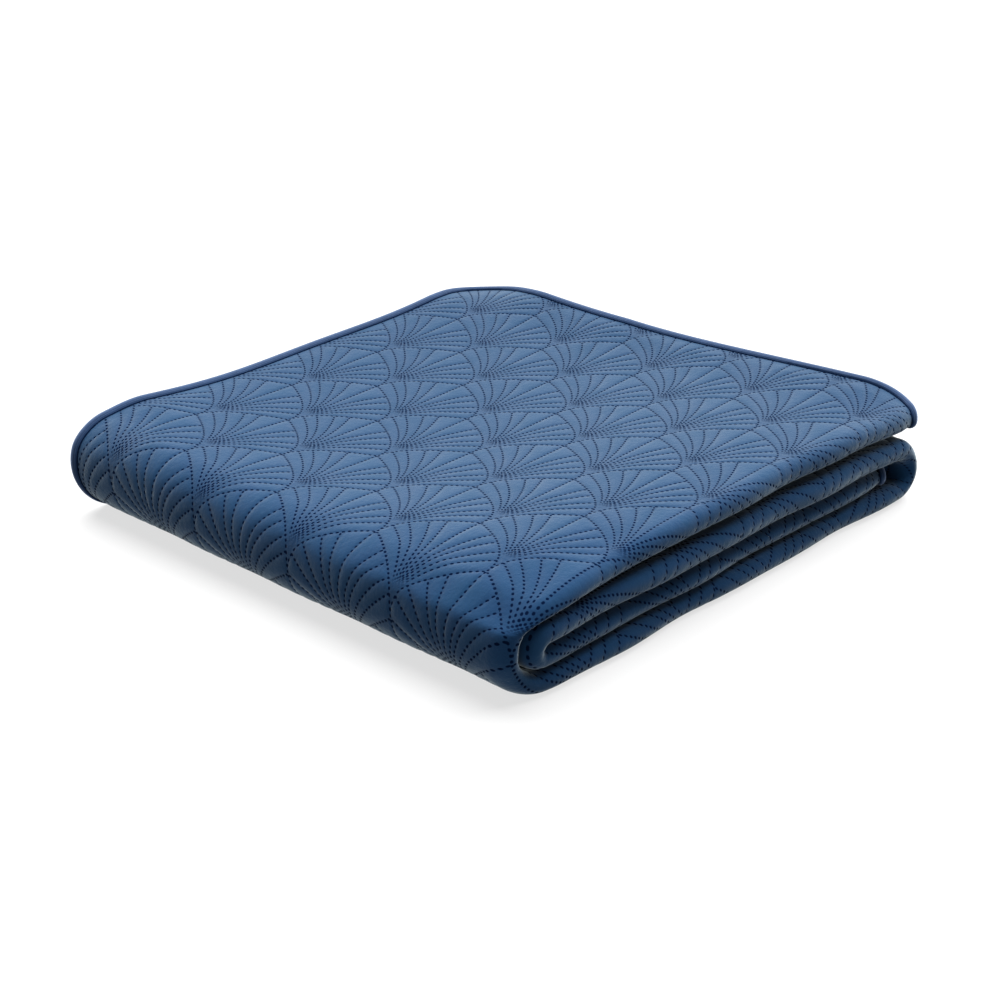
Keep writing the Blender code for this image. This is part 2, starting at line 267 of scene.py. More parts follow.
SECTION = make_section()
PATH = make_path()
CLOTH_WIDTH = curve_length(SECTION)
CLOTH_LENGTH = curve_length(PATH)
PACK_HEIGHT = limb_levels()[-1] + OUTER_LEVEL * LIMBS[-1][1] + CLOTH_THICKNESS / 2
FRONT_FOLD = SECTION[0].length
FRONT_FOLD_END = curve_length(SECTION[:2])
FRONT_FOLD_MIDDLE = (FRONT_FOLD + FRONT_FOLD_END) / 2
HALF_FOLD = curve_length(SECTION[:3])


def along_limbs(column, along):
    """A column of LIMBS at distances along the strip, blended through the turns."""
    row = {limb[0]: limb[column] for limb in LIMBS}
    values = [row["top"], row["bottom"], row["second"], row["third"]]
    result = np.full_like(along, values[0])
    for index, value in enumerate(values[1:]):
        start = curve_length(PATH[: 2 * index + 1])
        turned = soft_step(along, start, start + PATH[2 * index + 1].length)
        result += (value - values[index]) * turned
    return result


def end_recess(across):
    """How far back a layer's end lies, most at the half fold and round the outer fold."""
    recess = LAYER_RECESS * soft_step(across, FRONT_FOLD, HALF_FOLD)
    recess *= 1 - soft_step(across, HALF_FOLD, CLOTH_WIDTH)
    inward = FOLD_CORNER_RADIUS - np.hypot(across - FRONT_FOLD_MIDDLE, FOLD_CORNER_SOFTNESS)
    inward = np.maximum(inward, 0.0)
    return recess + FOLD_CORNER_RADIUS - np.sqrt(FOLD_CORNER_RADIUS**2 - inward**2)


def placed_along(across, along):
    """Where on the strip's path a place of the cloth lies, with its layer's end drawn back."""
    recess = end_recess(across)
    placed = along + recess * (1 - soft_step(along, 0.0, RECESS_FADE))
    return placed - recess * soft_step(along, CLOTH_LENGTH - RECESS_FADE, CLOTH_LENGTH)


def top_height(x, y):
    """The height of the pack's top over a place of its plan."""
    front = np.maximum(LOW_Y - y, 0.0) / (LOW_Y + EDGE_Y)
    back = np.maximum(y - LOW_Y, 0.0) / (EDGE_Y - LOW_Y)
    left = np.maximum(LOW_X - x, 0.0) / (LOW_X - OUTER_NOSE_X)
    right = np.maximum(x - LOW_X, 0.0) / (END_X - LOW_X)
    rise = FRONT_RISE * front**2 * (1 + FRONT_BULGE * (1 - front)) + BACK_RISE * back**2
    rise += (LEFT_RISE * left**2 + RIGHT_RISE * right**2) * (1 - front)
    back_corner = soft_step(np.abs(x), BACK_DROOP_FROM_X, END_X)
    back_corner *= soft_step(y, BACK_DROOP_FROM_Y, EDGE_Y)
    front_corner = soft_step(x, FRONT_DROOP_FROM_X, END_X)
    front_corner *= soft_step(-y, FRONT_DROOP_FROM_Y, EDGE_Y)
    rise -= BACK_CORNER_DROOP * back_corner + FRONT_CORNER_DROOP * front_corner
    wave = 1.0
    for rate_x, rate_y, start in TOP_WAVES:
        wave = wave * np.sin(rate_x * x + rate_y * y + start)
    return LOW_HEIGHT + rise + WAVE_HEIGHT * wave


def pressed_down(x, y):
    """How far the upper layers are pressed down at the left fold and the front left corner."""
    to_front = SHOULDER_LEAST + (1 - SHOULDER_LEAST) * soft_step(-y, *SHOULDER_TO_FRONT)
    shoulder = SHOULDER_DROP * to_front * soft_step(-x, *SHOULDER_TO_LEFT)
    corner = soft_step(-x, *CORNER_TO_LEFT) * soft_step(-y, *CORNER_TO_FRONT)
    return shoulder + CORNER_DROP * corner


def waves(table, along):
    """The sum of a table's waves at distances along the strip."""
    return sum(height * np.sin(rate * along + start) for height, rate, start in table)


def front_shift(along, x, z):
    """How far the front folds lie to the side."""
    at_left = along_limbs(3, along)
    at_right = along_limbs(4, along)
    share = (x - OUTER_NOSE_X) / (END_X - OUTER_NOSE_X)
    shift = at_left + (at_right - at_left) * share + waves(FRONT_WAVES, along)
    corner = np.clip((OUTER_NOSE_X + LEFT_CORNER_RADIUS - x) / LEFT_CORNER_RADIUS, 0.0, 1.0)
    pull = 1 - (1 - PULL_LEFT_ABOVE) * soft_step(z, 0.0, PULL_FADES_OVER)
    return shift + LEFT_CORNER_PULL * pull * (1 - np.sqrt(1 - corner**2))


def fold(across, along, height):
    """Where points of the flat cloth lie in the pack, from their heights over the sheet."""
    placed = placed_along(across, along)
    in_section, section_normal = walk(SECTION, across)
    at_end = 1 - soft_step(placed, 0.0, END_LIFT_LENGTH)
    spread = along_limbs(1, placed) / LAYER_PITCH * (1 + END_SPREAD * at_end)
    level = in_section[..., 1] * spread + section_normal[..., 1] * height
    y = in_section[..., 0] + section_normal[..., 0] * height
    on_path, path_normal = walk(PATH, placed)
    x = on_path[..., 0] + path_normal[..., 0] * level
    z = on_path[..., 1] + path_normal[..., 1] * level + END_LIFT * at_end
    back_shift = along_limbs(5, placed) + waves(BACK_WAVES, placed)
    shift = front_shift(placed, x, z) * soft_step(-y, FRONT_SHIFT_FROM_Y, -FRONT_NOSE_Y)
    shift += back_shift * soft_step(y, BACK_SHIFT_FROM_Y, BACK_NOSE_Y)
    y = y + shift
    sag = TURN_SAG * soft_step(x, SAG_FROM_X, END_X)
    z = z - sag * soft_step(z, *SAG_LEVELS[:2]) * (1 - soft_step(z, *SAG_LEVELS[2:]))
    z = z * top_height(x, y) / PACK_HEIGHT
    z = z - pressed_down(x, y) * soft_step(z, *PRESSED_LEVELS)
    return np.stack((x - MIDDLE_X, y - MIDDLE_Y, z), axis=-1)


def pattern_place(across, along):
    """Where a place of the cloth lies in the stitched pattern.

    The front folds aren't square to the cloth's edge, so the strip has more cloth in front where
    its folds lie further out, and the pattern runs on through it.
    """
    placed = placed_along(across, along)
    on_path = walk(PATH, placed)[0]
    y = EDGE_Y - np.minimum(across, FRONT_FOLD)
    more = front_shift(placed, on_path[..., 0], on_path[..., 1])
    more *= soft_step(-y, FRONT_SHIFT_FROM_Y, -FRONT_NOSE_Y)
    return across - more, placed


def edge_distance(across, along):
    """How far a place of the flat sheet is from the sheet's rounded edge."""
    a = np.minimum(across, CLOTH_WIDTH - across)
    b = np.minimum(along, CLOTH_LENGTH - along)
    round_corner = CORNER_RADIUS - np.hypot(CORNER_RADIUS - a, CORNER_RADIUS - b)
    at_corner = (a < CORNER_RADIUS) & (b < CORNER_RADIUS)
    return np.where(at_corner, round_corner, np.minimum(a, b))


# ---- Sums that work on arrays and on a material's numbers alike ----

ARRAY_MATHS = {
    "ABSOLUTE": np.abs,
    "FLOOR": np.floor,
    "LESS_THAN": np.less,
    "MAXIMUM": np.maximum,
    "MINIMUM": np.minimum,
    "POWER": np.power,
    "SQRT": np.sqrt,
}


class Number:
    """A number of a material. Sums with it add their Math nodes."""

    def __init__(self, recipe, socket):
        self.recipe = recipe
        self.socket = socket

    def __add__(self, other):
        return self.recipe.maths("ADD", self, other)

    def __radd__(self, other):
        return self.recipe.maths("ADD", other, self)

    def __sub__(self, other):
        return self.recipe.maths("SUBTRACT", self, other)

    def __rsub__(self, other):
        return self.recipe.maths("SUBTRACT", other, self)

    def __mul__(self, other):
        return self.recipe.maths("MULTIPLY", self, other)

    def __rmul__(self, other):
        return self.recipe.maths("MULTIPLY", other, self)

    def __truediv__(self, other):
        return self.recipe.maths("DIVIDE", self, other)

    def __rtruediv__(self, other):
        return self.recipe.maths("DIVIDE", other, self)


class Recipe:
    """The node tree of one material."""

    def __init__(self, name):
        self.material = bpy.data.materials.new(name)
        self.material.use_nodes = True
        self.tree = self.material.node_tree
        self.shader = self.tree.nodes["Principled BSDF"]

    def fill(self, socket, value):
        if isinstance(value, Number):
            value = value.socket
        if isinstance(value, bpy.types.NodeSocket):
            self.tree.links.new(value, socket)
        else:
            socket.default_value = value

    def node(self, kind, settings, inputs):
        """Adds a node, sets its settings, then fills its sockets by name or number."""
        node = self.tree.nodes.new(kind)
        for setting, value in settings.items():
            setattr(node, setting, value)
        for key, value in inputs.items():
            self.fill(node.inputs[key], value)
        return node

    def maths(self, operation, *values):
        settings = {"operation": operation}
        node = self.node("ShaderNodeMath", settings, dict(enumerate(values)))
        return Number(self, node.outputs[0])

    def rise(self, value, start, end):
        """0 up to start, 1 from end on, and a smooth rise between them."""
        settings = {"interpolation_type": "SMOOTHSTEP"}
        inputs = {"Value": value, "From Min": start, "From Max": end}
        return Number(self, self.node("ShaderNodeMapRange", settings, inputs).outputs[0])

    def blend(self, share, first, second):
        """A colour between two colours."""
        settings = {"data_type": "RGBA"}
        inputs = {0: share, 6: first, 7: second}
        return self.node("ShaderNodeMix", settings, inputs).outputs[2]

    def noise(self, place, scale, detail, roughness=0.5):
        """Soft noise from 0 to 1 with about this many lumps to a metre."""
        settings = {"noise_dimensions": "3D"}
        inputs = {"Vector": place, "Scale": scale, "Detail": detail, "Roughness": roughness}
        return Number(self, self.node("ShaderNodeTexNoise", settings, inputs).outputs[0])

    def bump(self, height):
        """A normal from a height in metres."""
        inputs = {"Strength": 1.0, "Distance": 1.0, "Height": height}
        return self.node("ShaderNodeBump", {}, inputs).outputs[0]

    def set_shader(self, values):
        for key, value in values.items():
            self.fill(self.shader.inputs[key], value)

    def cover(self, share, values):
        """Lays a second shader over the first one, as far as the share says."""
        over = self.node("ShaderNodeBsdfPrincipled", {}, values).outputs[0]
        inputs = {0: share, 1: self.shader.outputs[0], 2: over}
        mixed = self.node("ShaderNodeMixShader", {}, inputs).outputs[0]
        self.fill(self.tree.nodes["Material Output"].inputs[0], mixed)


def maths(operation, *values):
    """A Math node's operation, on a material's numbers or on arrays."""
    for value in values:
        if isinstance(value, Number):
            return value.recipe.maths(operation, *values)
    return ARRAY_MATHS[operation](*values)


def fan_place(across, along):
    """Where a place of the pattern lies in its own fan and under the fan that closes it above.

    Both are given as the distance to the side of a fan's middle and the height over its base, in
    repeats. Fans stand at whole repeats in the even columns, and half a repeat on in the odd ones.
    """
    x = (FAN_BASE_ACROSS - across) / REPEAT
    y = (FAN_BASE_ALONG - along) / REPEAT
    even_side = maths("ABSOLUTE", x - maths("FLOOR", x + 0.5))
    odd_side = 0.5 - even_side
    even_edge = maths("POWER", even_side / RIB_SPREADS[-1], 1 / RIB_POWER)
    odd_edge = maths("POWER", odd_side / RIB_SPREADS[-1], 1 / RIB_POWER)
    over_even = y - even_edge
    over_even = over_even - maths("FLOOR", over_even)
    over_odd = y - odd_edge - 0.5
    over_odd = over_odd - maths("FLOOR", over_odd)
    even_owns = 1.0 * maths("LESS_THAN", over_even, over_odd)
    side = odd_side + (even_side - odd_side) * even_owns
    own_edge = odd_edge + (even_edge - odd_edge) * even_owns
    height = maths("MINIMUM", over_even, over_odd) + own_edge
    next_height = maths("MAXIMUM", over_even, over_odd) - 1 + even_edge + odd_edge - own_edge
    return side, height, 0.5 - side, next_height


def rib_distances(side, height, spreads):
    """How far a place of a fan is from each of its ribs, in metres."""
    above = maths("MAXIMUM", height, LEAST_HEIGHT)
    below = height - above
    rise = maths("POWER", above, RIB_POWER - 1)
    distances = []
    for spread in spreads:
        lean = rise * (spread * RIB_POWER)
        away = (side - rise * above * spread) / maths("SQRT", lean * lean + 1)
        distances.append(maths("SQRT", away * away + below * below) * REPEAT)
    return distances


def rib_reach(side, height):
    """About how far a place of a fan is along its rib, in metres."""
    return maths("SQRT", side * side + height * height) * REPEAT


def puffed_up(room, settings):
    """How far the wadding rises in a petal's room: 0 at its seams, near 1 in a wide petal."""
    return room * room / (room * room + settings.petal_room**2)


def seam_places(across, along):
    """What lies round a place in the stitched fans.

    Returns the distances to the ribs of the place's own fan, the last of which is its lower edge,
    and how far along them it lies. Then the same for the edge of the fan that closes it above, how
    high over the base it lies in repeats, and how roomy the petal is there.
    """
    side, height, next_side, next_height = fan_place(across, along)
    ribs = rib_distances(side, height, RIB_SPREADS)
    closing = rib_distances(next_side, next_height, RIB_SPREADS[-1:])[0]
    crowding = 0.0
    for distance in ribs + [closing]:
        crowding = 1 / (distance + LEAST_ROOM) + crowding
    reach = rib_reach(side, height)
    next_reach = rib_reach(next_side, next_height)
    return ribs, reach, closing, next_reach, height, 1 / crowding


# ---- Settings ----


def size_setting(name, description, default):
    return bpy.props.FloatProperty(
        name=name, description=description, default=default, subtype="DISTANCE"
    )


def colour_setting(name, description, default):
    return bpy.props.FloatVectorProperty(
        name=name, description=description, default=default, size=3, subtype="COLOR"
    )


class ClothSettings(bpy.types.PropertyGroup):
    """Sizes and colours of the quilted cloth."""

    seam_height: size_setting(
        "Seam height", "Height of the stitched lines over the middle of the sheet", 0.0013
    )
    petal_height: size_setting(
        "Petal height", "Height of a wide petal's crest over the middle of the sheet", 0.0026
    )
    petal_room: size_setting(
        "Petal room", "Room in a petal at which the wadding rises halfway", 0.0020
    )
    stitch_pitch: size_setting("Stitch pitch", "Distance from one stitch to the next", 0.0046)
    stitch_length: size_setting("Stitch length", "Length of the pit of each stitch", 0.0027)
    stitch_width: size_setting(
        "Stitch width", "Width of the pit that each stitch pulls into the cloth", 0.0021
    )
    ribs_from: bpy.props.FloatVectorProperty(
        name="Inner ribs from",
        description="Height in a fan, in repeats, where its inner ribs' stitches start and are full",
        default=(0.16, 0.3),
        size=2,
    )
    # Painted light: the cloth colour shows on the petals' crests, mixed with random nap tone
    colour: colour_setting(
        "Cloth colour", "Colour of the nap on the crests of the petals", (0.009, 0.036, 0.081)
    )
    # Painted shade: the low colour shows towards the seams, mixed with random nap tone
    low_colour: colour_setting(
        "Low colour", "Colour of the nap where stitches press it down", (0.005, 0.020, 0.054)
    )
    # Painted shade in the stitch pits, also used for the dull random mottle of the nap
    pit_shade_and_mottle_colour: colour_setting(
        "Stitch colour", "Colour of the pits round the stitches", (0.001, 0.004, 0.015)
    )
    sheen_colour: colour_setting(
        "Sheen colour", "Colour of the light on the tips of the nap", (0.53, 0.61, 0.62)
    )


class BindingSettings(bpy.types.PropertyGroup):
    """Sizes and colours of the binding."""

    width: size_setting("Width", "Width of the binding on each face of the cloth", 0.0097)
    crown: size_setting(
        "Crown", "Height of the binding's middle over the middle of the sheet", 0.0031
    )
    colour: colour_setting("Colour", "Colour of the binding", (0.011, 0.026, 0.064))
    low_colour: colour_setting(
        "Low colour", "Colour of the binding where it is worn or pressed", (0.005, 0.013, 0.034)
    )
    # Painted shade in the groove where the binding is sewn down, and in its dent
    groove_shade_colour: colour_setting(
        "Seam colour", "Colour of the groove in which it is sewn down", (0.001, 0.004, 0.015)
    )
    sheen_colour: colour_setting(
        "Sheen colour", "Colour of the light on the binding's weave", (0.33, 0.41, 0.56)
    )


class StageSettings(bpy.types.PropertyGroup):
    """The floor and the lights."""

    floor_colour: colour_setting(
        "Floor colour", "Colour of the plain floor", (0.12, 0.12, 0.12)
    )
    floor_glow: bpy.props.FloatProperty(
        name="Floor glow",
        description="Light of the floor itself, which keeps its shadow faint",
        default=0.70,
    )
    floor_size: size_setting("Floor size", "Width of the plain floor", 24.0)
    light: bpy.props.FloatProperty(
        name="Light",
        description="Strength of the soft light from above and behind",
        default=16.8,
    )
    surround: bpy.props.FloatProperty(
        name="Surround",
        description="Strength of the even light all round",
        default=0.18,
    )


# ---- The cloth's sheets ----

# How far apart a mesh's points are: in raised cloth, at the right and the back, in cloth that
# doesn't show, and at most in the turns
FINE_STEP = 0.0016
RIGHT_STEP = 0.0020
BACK_STEP = 0.0022
HIDDEN_STEP = 0.009
TURN_STEP = 0.0025
# The reverse keeps every few points of the face
REVERSE_EVERY = 4
# How far in from the edge the points give way to the sheet's round corners
EDGE_EASE = 0.2
# How far to the side of a place its slope is measured
SLOPE_STEP = 0.0008

# Where the cloth is cut into sheets, across and then along
FRONT_FLAT = 0.510
FRONT_LAP = 0.6208
BACK_FOLD_FROM = 1.104
BACK_FOLD_TO = 1.152
TOP_CUT = 0.340
LEFT_CUT = 0.680
RIGHT_FROM = 1.130
RIGHT_TO = 1.272

# Sheet, from and to across, from and to along, step, whether its petals are raised in the mesh,
# and what it lies on
SHEETS = (
    ("top_cloth", 0.0, FRONT_LAP, 0.0, TOP_CUT, FINE_STEP, True, "front_folds"),
    ("left_cloth", 0.0, FRONT_LAP, TOP_CUT, LEFT_CUT, FINE_STEP, True, "front_folds"),
    ("front_folds", FRONT_FLAT, FRONT_LAP, LEFT_CUT, CLOTH_LENGTH, FINE_STEP, True, "floor"),
    ("right_cloth", 0.0, FRONT_FLAT, RIGHT_FROM, RIGHT_TO, RIGHT_STEP, True, "floor"),
    ("back_folds", BACK_FOLD_FROM, BACK_FOLD_TO, 0.0, CLOTH_LENGTH, BACK_STEP, True, "floor"),
    ("under_cloth", 0.0, FRONT_FLAT, LEFT_CUT, RIGHT_FROM, HIDDEN_STEP, False, "floor"),
    ("tucked_cloth", 0.0, FRONT_FLAT, RIGHT_TO, CLOTH_LENGTH, HIDDEN_STEP, False, "under_cloth"),
    ("lower_layers", FRONT_LAP, BACK_FOLD_FROM, 0.0, CLOTH_LENGTH, HIDDEN_STEP, False, "floor"),
    ("inner_layers", BACK_FOLD_TO, CLOTH_WIDTH, 0.0, CLOTH_LENGTH, HIDDEN_STEP, False, "floor"),
)


def turns_of(curve):
    """Where the turns of a curve start and end."""
    return [
        (curve_length(curve[:index]), curve_length(curve[: index + 1]))
        for index, stretch in enumerate(curve)
        if isinstance(stretch, Turn)
    ]


def stations(start, end, step, curve):
    """Evenly spaced places from start to end, closer together in the turns of a curve."""
    marks = [start, end]
    for turn in turns_of(curve):
        marks += [mark for mark in turn if start < mark < end]
    marks = sorted(marks)
    places = [start]
    for low, high in zip(marks, marks[1:]):
        middle = (low + high) / 2
        turning = any(first < middle < last for first, last in turns_of(curve))
        here = min(step, TURN_STEP) if turning else step
        count = max(round((high - low) / here), 1)
        places += [low + (high - low) * index / count for index in range(1, count + 1)]
    return np.array(places)


def drawn_in(across, along):
    """Places across the cloth, drawn in from the edges where the sheet's corners are round."""
    from_end = np.minimum(along, CLOTH_LENGTH - along)
    inward = np.maximum(CORNER_RADIUS - from_end, 0.0)
    inset = CORNER_RADIUS - np.sqrt(np.maximum(CORNER_RADIUS**2 - inward**2, 0.0))
    near = np.maximum(1 - across / EDGE_EASE, 0.0)
    far = np.maximum(1 - (CLOTH_WIDTH - across) / EDGE_EASE, 0.0)
    return across + inset * near - inset * far


def surface_height(across, along, settings, raised):
    """The height of the cloth's face over the middle of the sheet."""
    if raised:
        room = seam_places(*pattern_place(across, along))[-1]
        puffed = puffed_up(room, settings)
        from_fold = np.abs(across - FRONT_FOLD_MIDDLE)
        stretched = 1 - soft_step(from_fold, *STRETCHED_ROUND_FOLD)
        puffed = puffed + (FOLD_PUFFED - puffed) * FOLD_STRETCH * stretched
    else:
        puffed = HIDDEN_PUFFED
    full = settings.seam_height + (settings.petal_height - settings.seam_height) * puffed
    held = soft_step(edge_distance(across, along), BOUND_WIDTH, FULL_FROM)
    return BOUND_THICKNESS / 2 + (full - BOUND_THICKNESS / 2) * held


def reverse_height(across, along):
    """The height of the cloth's reverse, which lies under the sheet's middle."""
    held = soft_step(edge_distance(across, along), BOUND_WIDTH, FULL_FROM)
    return -(BOUND_THICKNESS + (CLOTH_THICKNESS - BOUND_THICKNESS) * held) / 2


def surface_normals(across, along, height_at):
    """The way out of the folded cloth's face, from points just beside each place."""
    slopes = []
    for step_across, step_along in ((SLOPE_STEP, 0.0), (0.0, SLOPE_STEP)):
        ends = []
        for side in (-1, 1):
            a = across + side * step_across
            b = along + side * step_along
            ends.append(fold(a, b, height_at(a, b)))
        slopes.append(ends[1] - ends[0])
    normals = np.cross(slopes[1], slopes[0])
    return normals / np.linalg.norm(normals, axis=-1)[..., None]


def lay_grid(bm, count_across, count_along, level):
    """A flat grid of faces. Returns the numbers of its points by their row and column."""
    made = bmesh.ops.create_grid(
        bm, x_segments=count_across - 1, y_segments=count_along - 1, size=1.0
    )["verts"]
    bm.verts.index_update()
    order = np.zeros((count_along, count_across), int)
    for vert in made:
        column = round((1 - vert.co.x) / 2 * (count_across - 1))
        row = round((1 + vert.co.y) / 2 * (count_along - 1))
        order[row, column] = vert.index
        vert.co.z = level
    return order


def sew_rim(bm, face, reverse, kept_across, kept_along):
    """Walls between a fine face grid and a coarse reverse grid, all the way round."""
    bm.verts.ensure_lookup_table()
    sides = (
        (face[0], reverse[0], kept_across),
        (face[-1], reverse[-1], kept_across),
        (face[:, 0], reverse[:, 0], kept_along),
        (face[:, -1], reverse[:, -1], kept_along),
    )
    for fine, coarse, kept in sides:
        for index in range(len(kept) - 1):
            span = fine[kept[index] : kept[index + 1] + 1]
            ring = [*span, coarse[index + 1], coarse[index]]
            bm.faces.new([bm.verts[int(number)] for number in ring])


def kept_places(count):
    """Every few places of a row, its last one included."""
    kept = list(range(0, count - 1, REVERSE_EVERY))
    if count - 1 - kept[-1] < REVERSE_EVERY / 2 and len(kept) > 1:
        kept.pop()
    return kept + [count - 1]


def finish_piece(name, bm, points, flat, material):
    """An object from a closed bmesh whose points take their folded places."""
    bmesh.ops.recalc_face_normals(bm, faces=bm.faces)
    mesh = bpy.data.meshes.new(name)
    bm.to_mesh(mesh)
    bm.free()
    mesh.vertices.foreach_set("co", points.astype(np.float32).ravel())
    corners = np.zeros(len(mesh.loops), np.int32)
    mesh.loops.foreach_get("vertex_index", corners)
    layer = mesh.uv_layers.new(name="flat_cloth")
    layer.uv.foreach_set("vector", flat[corners].astype(np.float32).ravel())
    mesh.materials.append(material)
    mesh.shade_smooth()
    mesh.update()
    piece = bpy.data.objects.new(name, mesh)
    bpy.context.scene.collection.objects.link(piece)
    return piece


def build_sheet(name, across_span, along_span, step, raised, settings, material):
    """One closed sheet of the cloth: a fine face, a coarser reverse and its rim."""
    columns = stations(*across_span, step, SECTION)
    rows = stations(*along_span, step, PATH)
    kept_across = kept_places(len(columns)) if raised else list(range(len(columns)))
    kept_along = kept_places(len(rows)) if raised else list(range(len(rows)))
    bm = bmesh.new()
    face = lay_grid(bm, len(columns), len(rows), 1.0)
    reverse = lay_grid(bm, len(kept_across), len(kept_along), -1.0)
    sew_rim(bm, face, reverse, kept_across, kept_along)
    across, along = np.meshgrid(columns, rows)
    across = drawn_in(across, along)
    under_across = across[np.ix_(kept_along, kept_across)]
    under_along = along[np.ix_(kept_along, kept_across)]
    points = np.zeros((len(bm.verts), 3))
    normals = np.zeros((len(bm.verts), 3))
    flat = np.zeros((len(bm.verts), 2))

    def height_at(a, b):
        return surface_height(a, b, settings, raised)

    points[face] = fold(across, along, height_at(across, along))
    normals[face] = surface_normals(across, along, height_at)
    flat[face] = np.stack(pattern_place(across, along), axis=-1)
    points[reverse] = fold(under_across, under_along, reverse_height(under_across, under_along))
    normals[reverse] = -surface_normals(under_across, under_along, reverse_height)
    flat[reverse] = np.stack(pattern_place(under_across, under_along), axis=-1)
    piece = finish_piece(name, bm, points, flat, material)
    piece.data.normals_split_custom_set_from_vertices(normals.tolist())
    return piece


# ---- The binding ----

BINDING_STEP = 0.003
BINDING_CORNER_STEPS = 28
# Room between the binding and the sheet's solid edge
BINDING_GAP = 0.00025
# Height of the sewn-down groove at the inner edge, its width, how far its lip bulges over the
# edge, and the rise out of it: its width, and its height in crowns
BINDING_PRESSED = 0.0013
BINDING_GROOVE = 0.0015
BINDING_LIP = 0.0002
BINDING_RISE = (0.0006, 0.80)
# Where a fine dent runs along the binding, in its widths from the edge
BINDING_DENT = 0.60
# The binding's crowned middle: distances inwards in widths, and heights in crowns
BINDING_CROWN = (
    (0.66, 0.92),
    (BINDING_DENT, 0.86),
    (0.52, 0.97),
    (0.38, 1.00),
    (0.18, 0.94),
)
# Its rounded outer edge: distances outwards, and heights in crowns
BINDING_NOSE = ((0.0002, 0.72), (0.0013, 0.34))
# Edges of the binding that turn by more than this stay sharp
SHARP_ANGLE = math.radians(60)


def edge_run():
    """Places round the sheet's rounded edge and the way out of the sheet at each."""
    radius = CORNER_RADIUS
    places, ways = [], []

    def side(fixed, values, way, across_fixed):
        for value in values:
            places.append((fixed, value) if across_fixed else (value, fixed))
            ways.append(way)

    def corner(centre, from_angle):
        for step in range(BINDING_CORNER_STEPS + 1):
            angle = math.radians(from_angle + 90 * step / BINDING_CORNER_STEPS)
            way = (math.cos(angle), math.sin(angle))
            places.append((centre[0] + radius * way[0], centre[1] + radius * way[1]))
            ways.append(way)

    far_across, far_along = CLOTH_WIDTH - radius, CLOTH_LENGTH - radius
    short = stations(radius, far_across, BINDING_STEP, SECTION)[1:-1]
    long = stations(radius, far_along, BINDING_STEP, PATH)[1:-1]
    corner((radius, radius), 180)
    side(0.0, short, (0.0, -1.0), False)
    corner((far_across, radius), 270)
    side(CLOTH_WIDTH, long, (1.0, 0.0), True)
    corner((far_across, far_along), 0)
    side(CLOTH_LENGTH, short[::-1], (0.0, 1.0), False)
    corner((radius, far_along), 90)
    side(0.0, long[::-1], (-1.0, 0.0), True)
    return np.array(places), np.array(ways)


def binding_profile(settings):
    """The binding's cross-section: distances outwards from the edge, and heights."""
    width = settings.width
    crown = settings.crown
    inner = BOUND_THICKNESS / 2 + BINDING_GAP
    face = (
        (-width, inner),
        (-width - BINDING_LIP, BINDING_PRESSED),
        (-width + BINDING_GROOVE, BINDING_PRESSED),
        (-width + BINDING_GROOVE + BINDING_RISE[0], crown * BINDING_RISE[1]),
        *((-width * inward, crown * height) for inward, height in BINDING_CROWN),
        *((out, crown * height) for out, height in BINDING_NOSE),
    )
    outer = face + tuple((out, -height) for out, height in reversed(face))
    return outer + ((BINDING_GAP, -inner), (BINDING_GAP, inner))


def build_binding(settings, material):
    """The strip of cloth folded over the sheet's edge, all the way round."""
    places, ways = edge_run()
    profile = np.array(binding_profile(settings))
    bm = bmesh.new()
    ring = [bm.verts.new((1.0 + out, 0.0, height)) for out, height in profile]
    edges = [bm.edges.new((ring[index - 1], ring[index])) for index in range(len(ring))]
    bmesh.ops.spin(
        bm,
        geom=ring + edges,
        axis=(0.0, 0.0, 1.0),
        angle=-2 * math.pi,
        steps=len(places),
        use_merge=True,
    )
    bm.verts.index_update()
    spun = np.array([vert.co for vert in bm.verts])
    turn = -np.arctan2(spun[:, 1], spun[:, 0]) / (2 * math.pi) * len(places)
    station = np.round(turn).astype(int) % len(places)
    found = np.stack((np.hypot(spun[:, 0], spun[:, 1]) - 1.0, spun[:, 2]), axis=1)
    spot = np.argmin(np.linalg.norm(found[:, None] - profile[None], axis=2), axis=1)
    out, height = profile[spot, 0], profile[spot, 1]
    across = places[station, 0] + ways[station, 0] * out
    along = places[station, 1] + ways[station, 1] * out
    steps = np.linalg.norm(np.diff(places, axis=0), axis=1)
    travelled = np.concatenate(([0.0], np.cumsum(steps)))
    flat = np.stack((-out, travelled[station]), axis=1)
    piece = finish_piece("edge_binding_cloth", bm, fold(across, along, height), flat, material)
    piece.data.set_sharp_from_angle(angle=SHARP_ANGLE)
    return piece, float(travelled[-1])


# ---- Materials ----

# Where a pit's edge fades, in its half widths, and how wide a pressed seam is
PIT_FADE = (0.75, 1.25)
SEAM_WIDTH = 0.0024
# Noises of the cloth: lumps to a metre, detail and roughness
BLOTCHES = (38.0, 3.0, 0.55)
GRAIN = (900.0, 2.0, 0.6)
PUCKERS = (210.0, 2.0, 0.5)
# How much a crest lightens the nap, as painted light on the crests and painted shade towards the
# seams, how much the blotches and the grain lighten it at random, and what is taken off
CREST_PAINTED_LIGHT = 0.4
BLOTCH_TONE = 0.9
GRAIN_TONE = 1.2
DARK_TONE = 0.8
# Heights of the grain, the puckers, the puckers along a seam, the crests and the pits
GRAIN_RISE = 0.0002
PUCKER_RISE = 0.0004
SEAM_RISE = 0.0002
CREST_RISE = 0.0004
PIT_DEPTH = 0.00012
NAP_ROUGHNESS = (0.82, 0.1)
NAP_SHEEN_ROUGHNESS = 0.35
# Where blotches and grain together wear the sheen off, and how much of it at most
WORN_FADE = (0.35, 0.75)
WORN_MOST = 0.35

